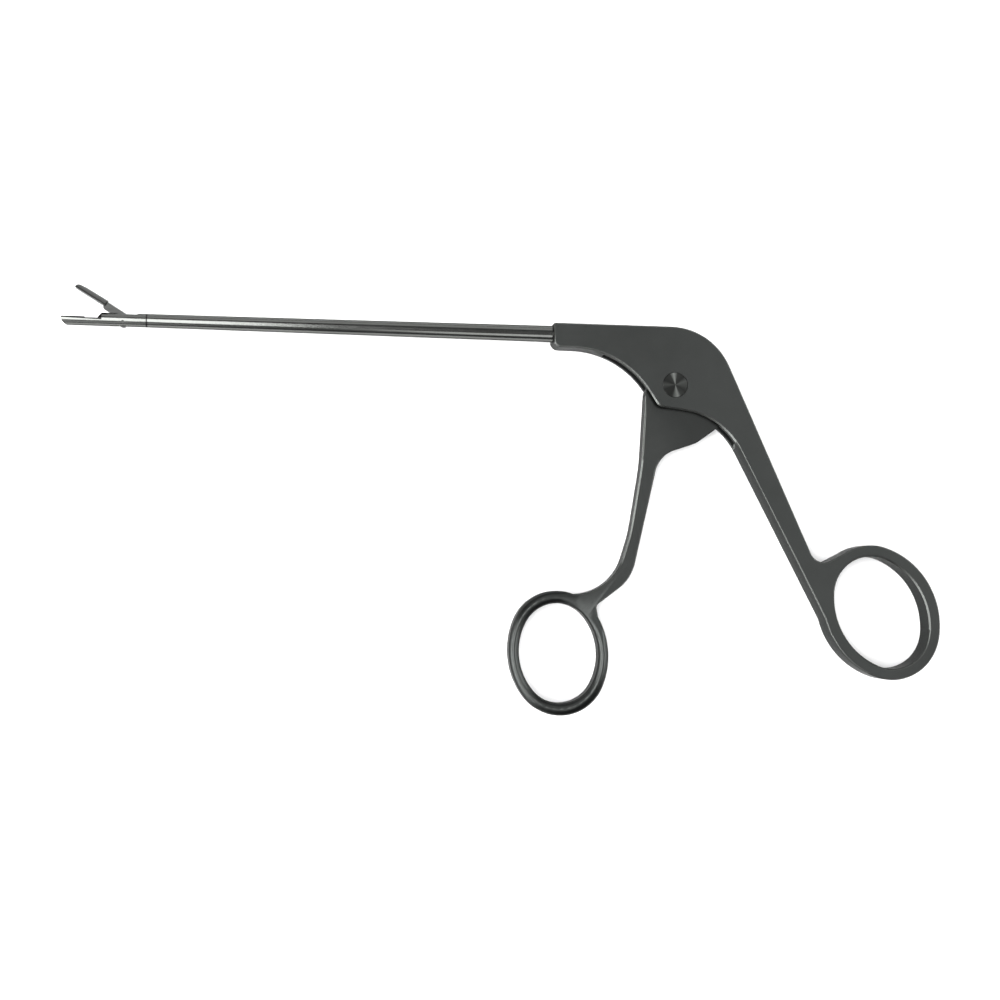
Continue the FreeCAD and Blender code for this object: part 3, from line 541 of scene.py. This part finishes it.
# Painted shade: the level faces take the darker copy of the steel.
for face in upper_jaw.data.polygons:
    if is_level(face):
        face.material_index = 1

# Linkage. The push rod runs inside the tube, with its end nut behind the
# lever's head, and two plain pins join the fork, the jaw and the holder.
# The nut and pins take the turned steel with its painted highlight streaks.
linkage = (
    ("push_rod", "push_rod_drawn", "rod", "polished_steel", polished),
    ("rod_end_nut", "rod_end_nut_turned", "rod", "turned_steel", turned_steel),
    ("drive_pin", "drive_pin_turned", "rod", "turned_steel", turned_steel),
    ("jaw_pivot_pin", "jaw_pivot_pin_turned", "handle", "turned_steel", turned_steel),
)
for node_name, piece_name, body, slot_name, finish in linkage:
    linkage_piece = merged_copy(node_name, piece_name, body, 35)
    keep_flats_flat(linkage_piece)
    linkage_piece.data.materials.append(finish)

# Floor. A plain pale sheet that the forceps lie on, far wider than the view.
# It lies a hair below the rest face, so the two never touch.
floor_half = 3.0
floor_drop = 0.00005
floor_mesh = bpy.data.meshes.new("floor")
floor_corners = [
    (-floor_half, -floor_half, -floor_drop),
    (floor_half, -floor_half, -floor_drop),
    (floor_half, floor_half, -floor_drop),
    (-floor_half, floor_half, -floor_drop),
]
floor_mesh.from_pydata(floor_corners, [], [(0, 1, 2, 3)])
floor = bpy.data.objects.new("floor", floor_mesh)
bpy.context.scene.collection.objects.link(floor)
floor_paint = bpy.data.materials.new("floor_paint")
floor_paint.use_nodes = True
floor_shader = floor_paint.node_tree.nodes["Principled BSDF"]
floor_shader.inputs["Base Color"].default_value = (0.9, 0.9, 0.9, 1.0)
floor_shader.inputs["Roughness"].default_value = 0.9
floor_mesh.materials.append(floor_paint)

# Light. A large soft box over the shaft leaves the white band on the tube.
# Those over the nose and the handle light the flats, and those on the left
# and right, in front and behind draw the edges.
object_centre = (-0.04, -0.04, 0.0)


def soft_box(name, place, aim, width, height, radiance):
    lamp = bpy.data.lights.new(name, "AREA")
    lamp.shape = "RECTANGLE"
    lamp.size = width
    lamp.size_y = height
    lamp.energy = radiance * math.pi * width * height
    holder = bpy.data.objects.new(name, lamp)
    holder.location = place
    away = Vector(place) - Vector(aim)
    holder.rotation_euler = away.to_track_quat("Z", "Y").to_euler()
    bpy.context.scene.collection.objects.link(holder)


soft_box("over_shaft", (-0.55, -0.1, 1.0), (-0.55, -0.1, 0.0), 0.84, 0.9, 8.6)
soft_box("over_nose", (0.18, -0.78, 0.9), (0.0, 0.0, 0.0), 0.36, 0.6, 3.0)
soft_box("over_handle", (0.55, 0.05, 1.0), (0.55, 0.05, 0.0), 0.7, 0.8, 1.7)
soft_box("left_side", (-1.35, -0.45, 0.38), object_centre, 2.2, 0.45, 14.0)
soft_box("left_front", (-0.75, -1.4, 0.8), object_centre, 1.0, 1.1, 1.3)
soft_box("back_side", (-0.2, 1.5, 0.8), object_centre, 2.6, 1.3, 1.2)
soft_box("right_side", (1.5, 0.1, 0.5), object_centre, 1.4, 0.6, 9.0)
world = bpy.data.worlds.new("studio")
world.use_nodes = True
sky = world.node_tree.nodes["Background"]
sky.inputs["Color"].default_value = (1.0, 1.0, 1.0, 1.0)
sky.inputs["Strength"].default_value = 0.2
bpy.context.scene.world = world
bpy.context.scene.view_settings.view_transform = "Standard"

# Camera. It looks down on the shaft from 0.4 m, leaning a little to the
# right and up, as the visible walls of the handle and slot show.
camera_data = bpy.data.cameras.new("camera")
camera_data.sensor_width = 36.0
camera_data.lens = 54.0
camera_data.clip_start = 0.01
camera = bpy.data.objects.new("camera", camera_data)
camera_place = Vector((-0.10018, -0.07012, 0.40228))
look_direction = Vector((0.13107, 0.06124, -0.98948)).normalized()
picture_right = Vector((0.99121, 0.01014, 0.13193))
picture_up = picture_right.cross(look_direction).normalized()
picture_right = look_direction.cross(picture_up)
turn = Matrix((picture_right, picture_up, -look_direction)).transposed()
camera.matrix_world = Matrix.Translation(camera_place) @ turn.to_4x4()
bpy.context.scene.collection.objects.link(camera)
bpy.context.scene.camera = camera
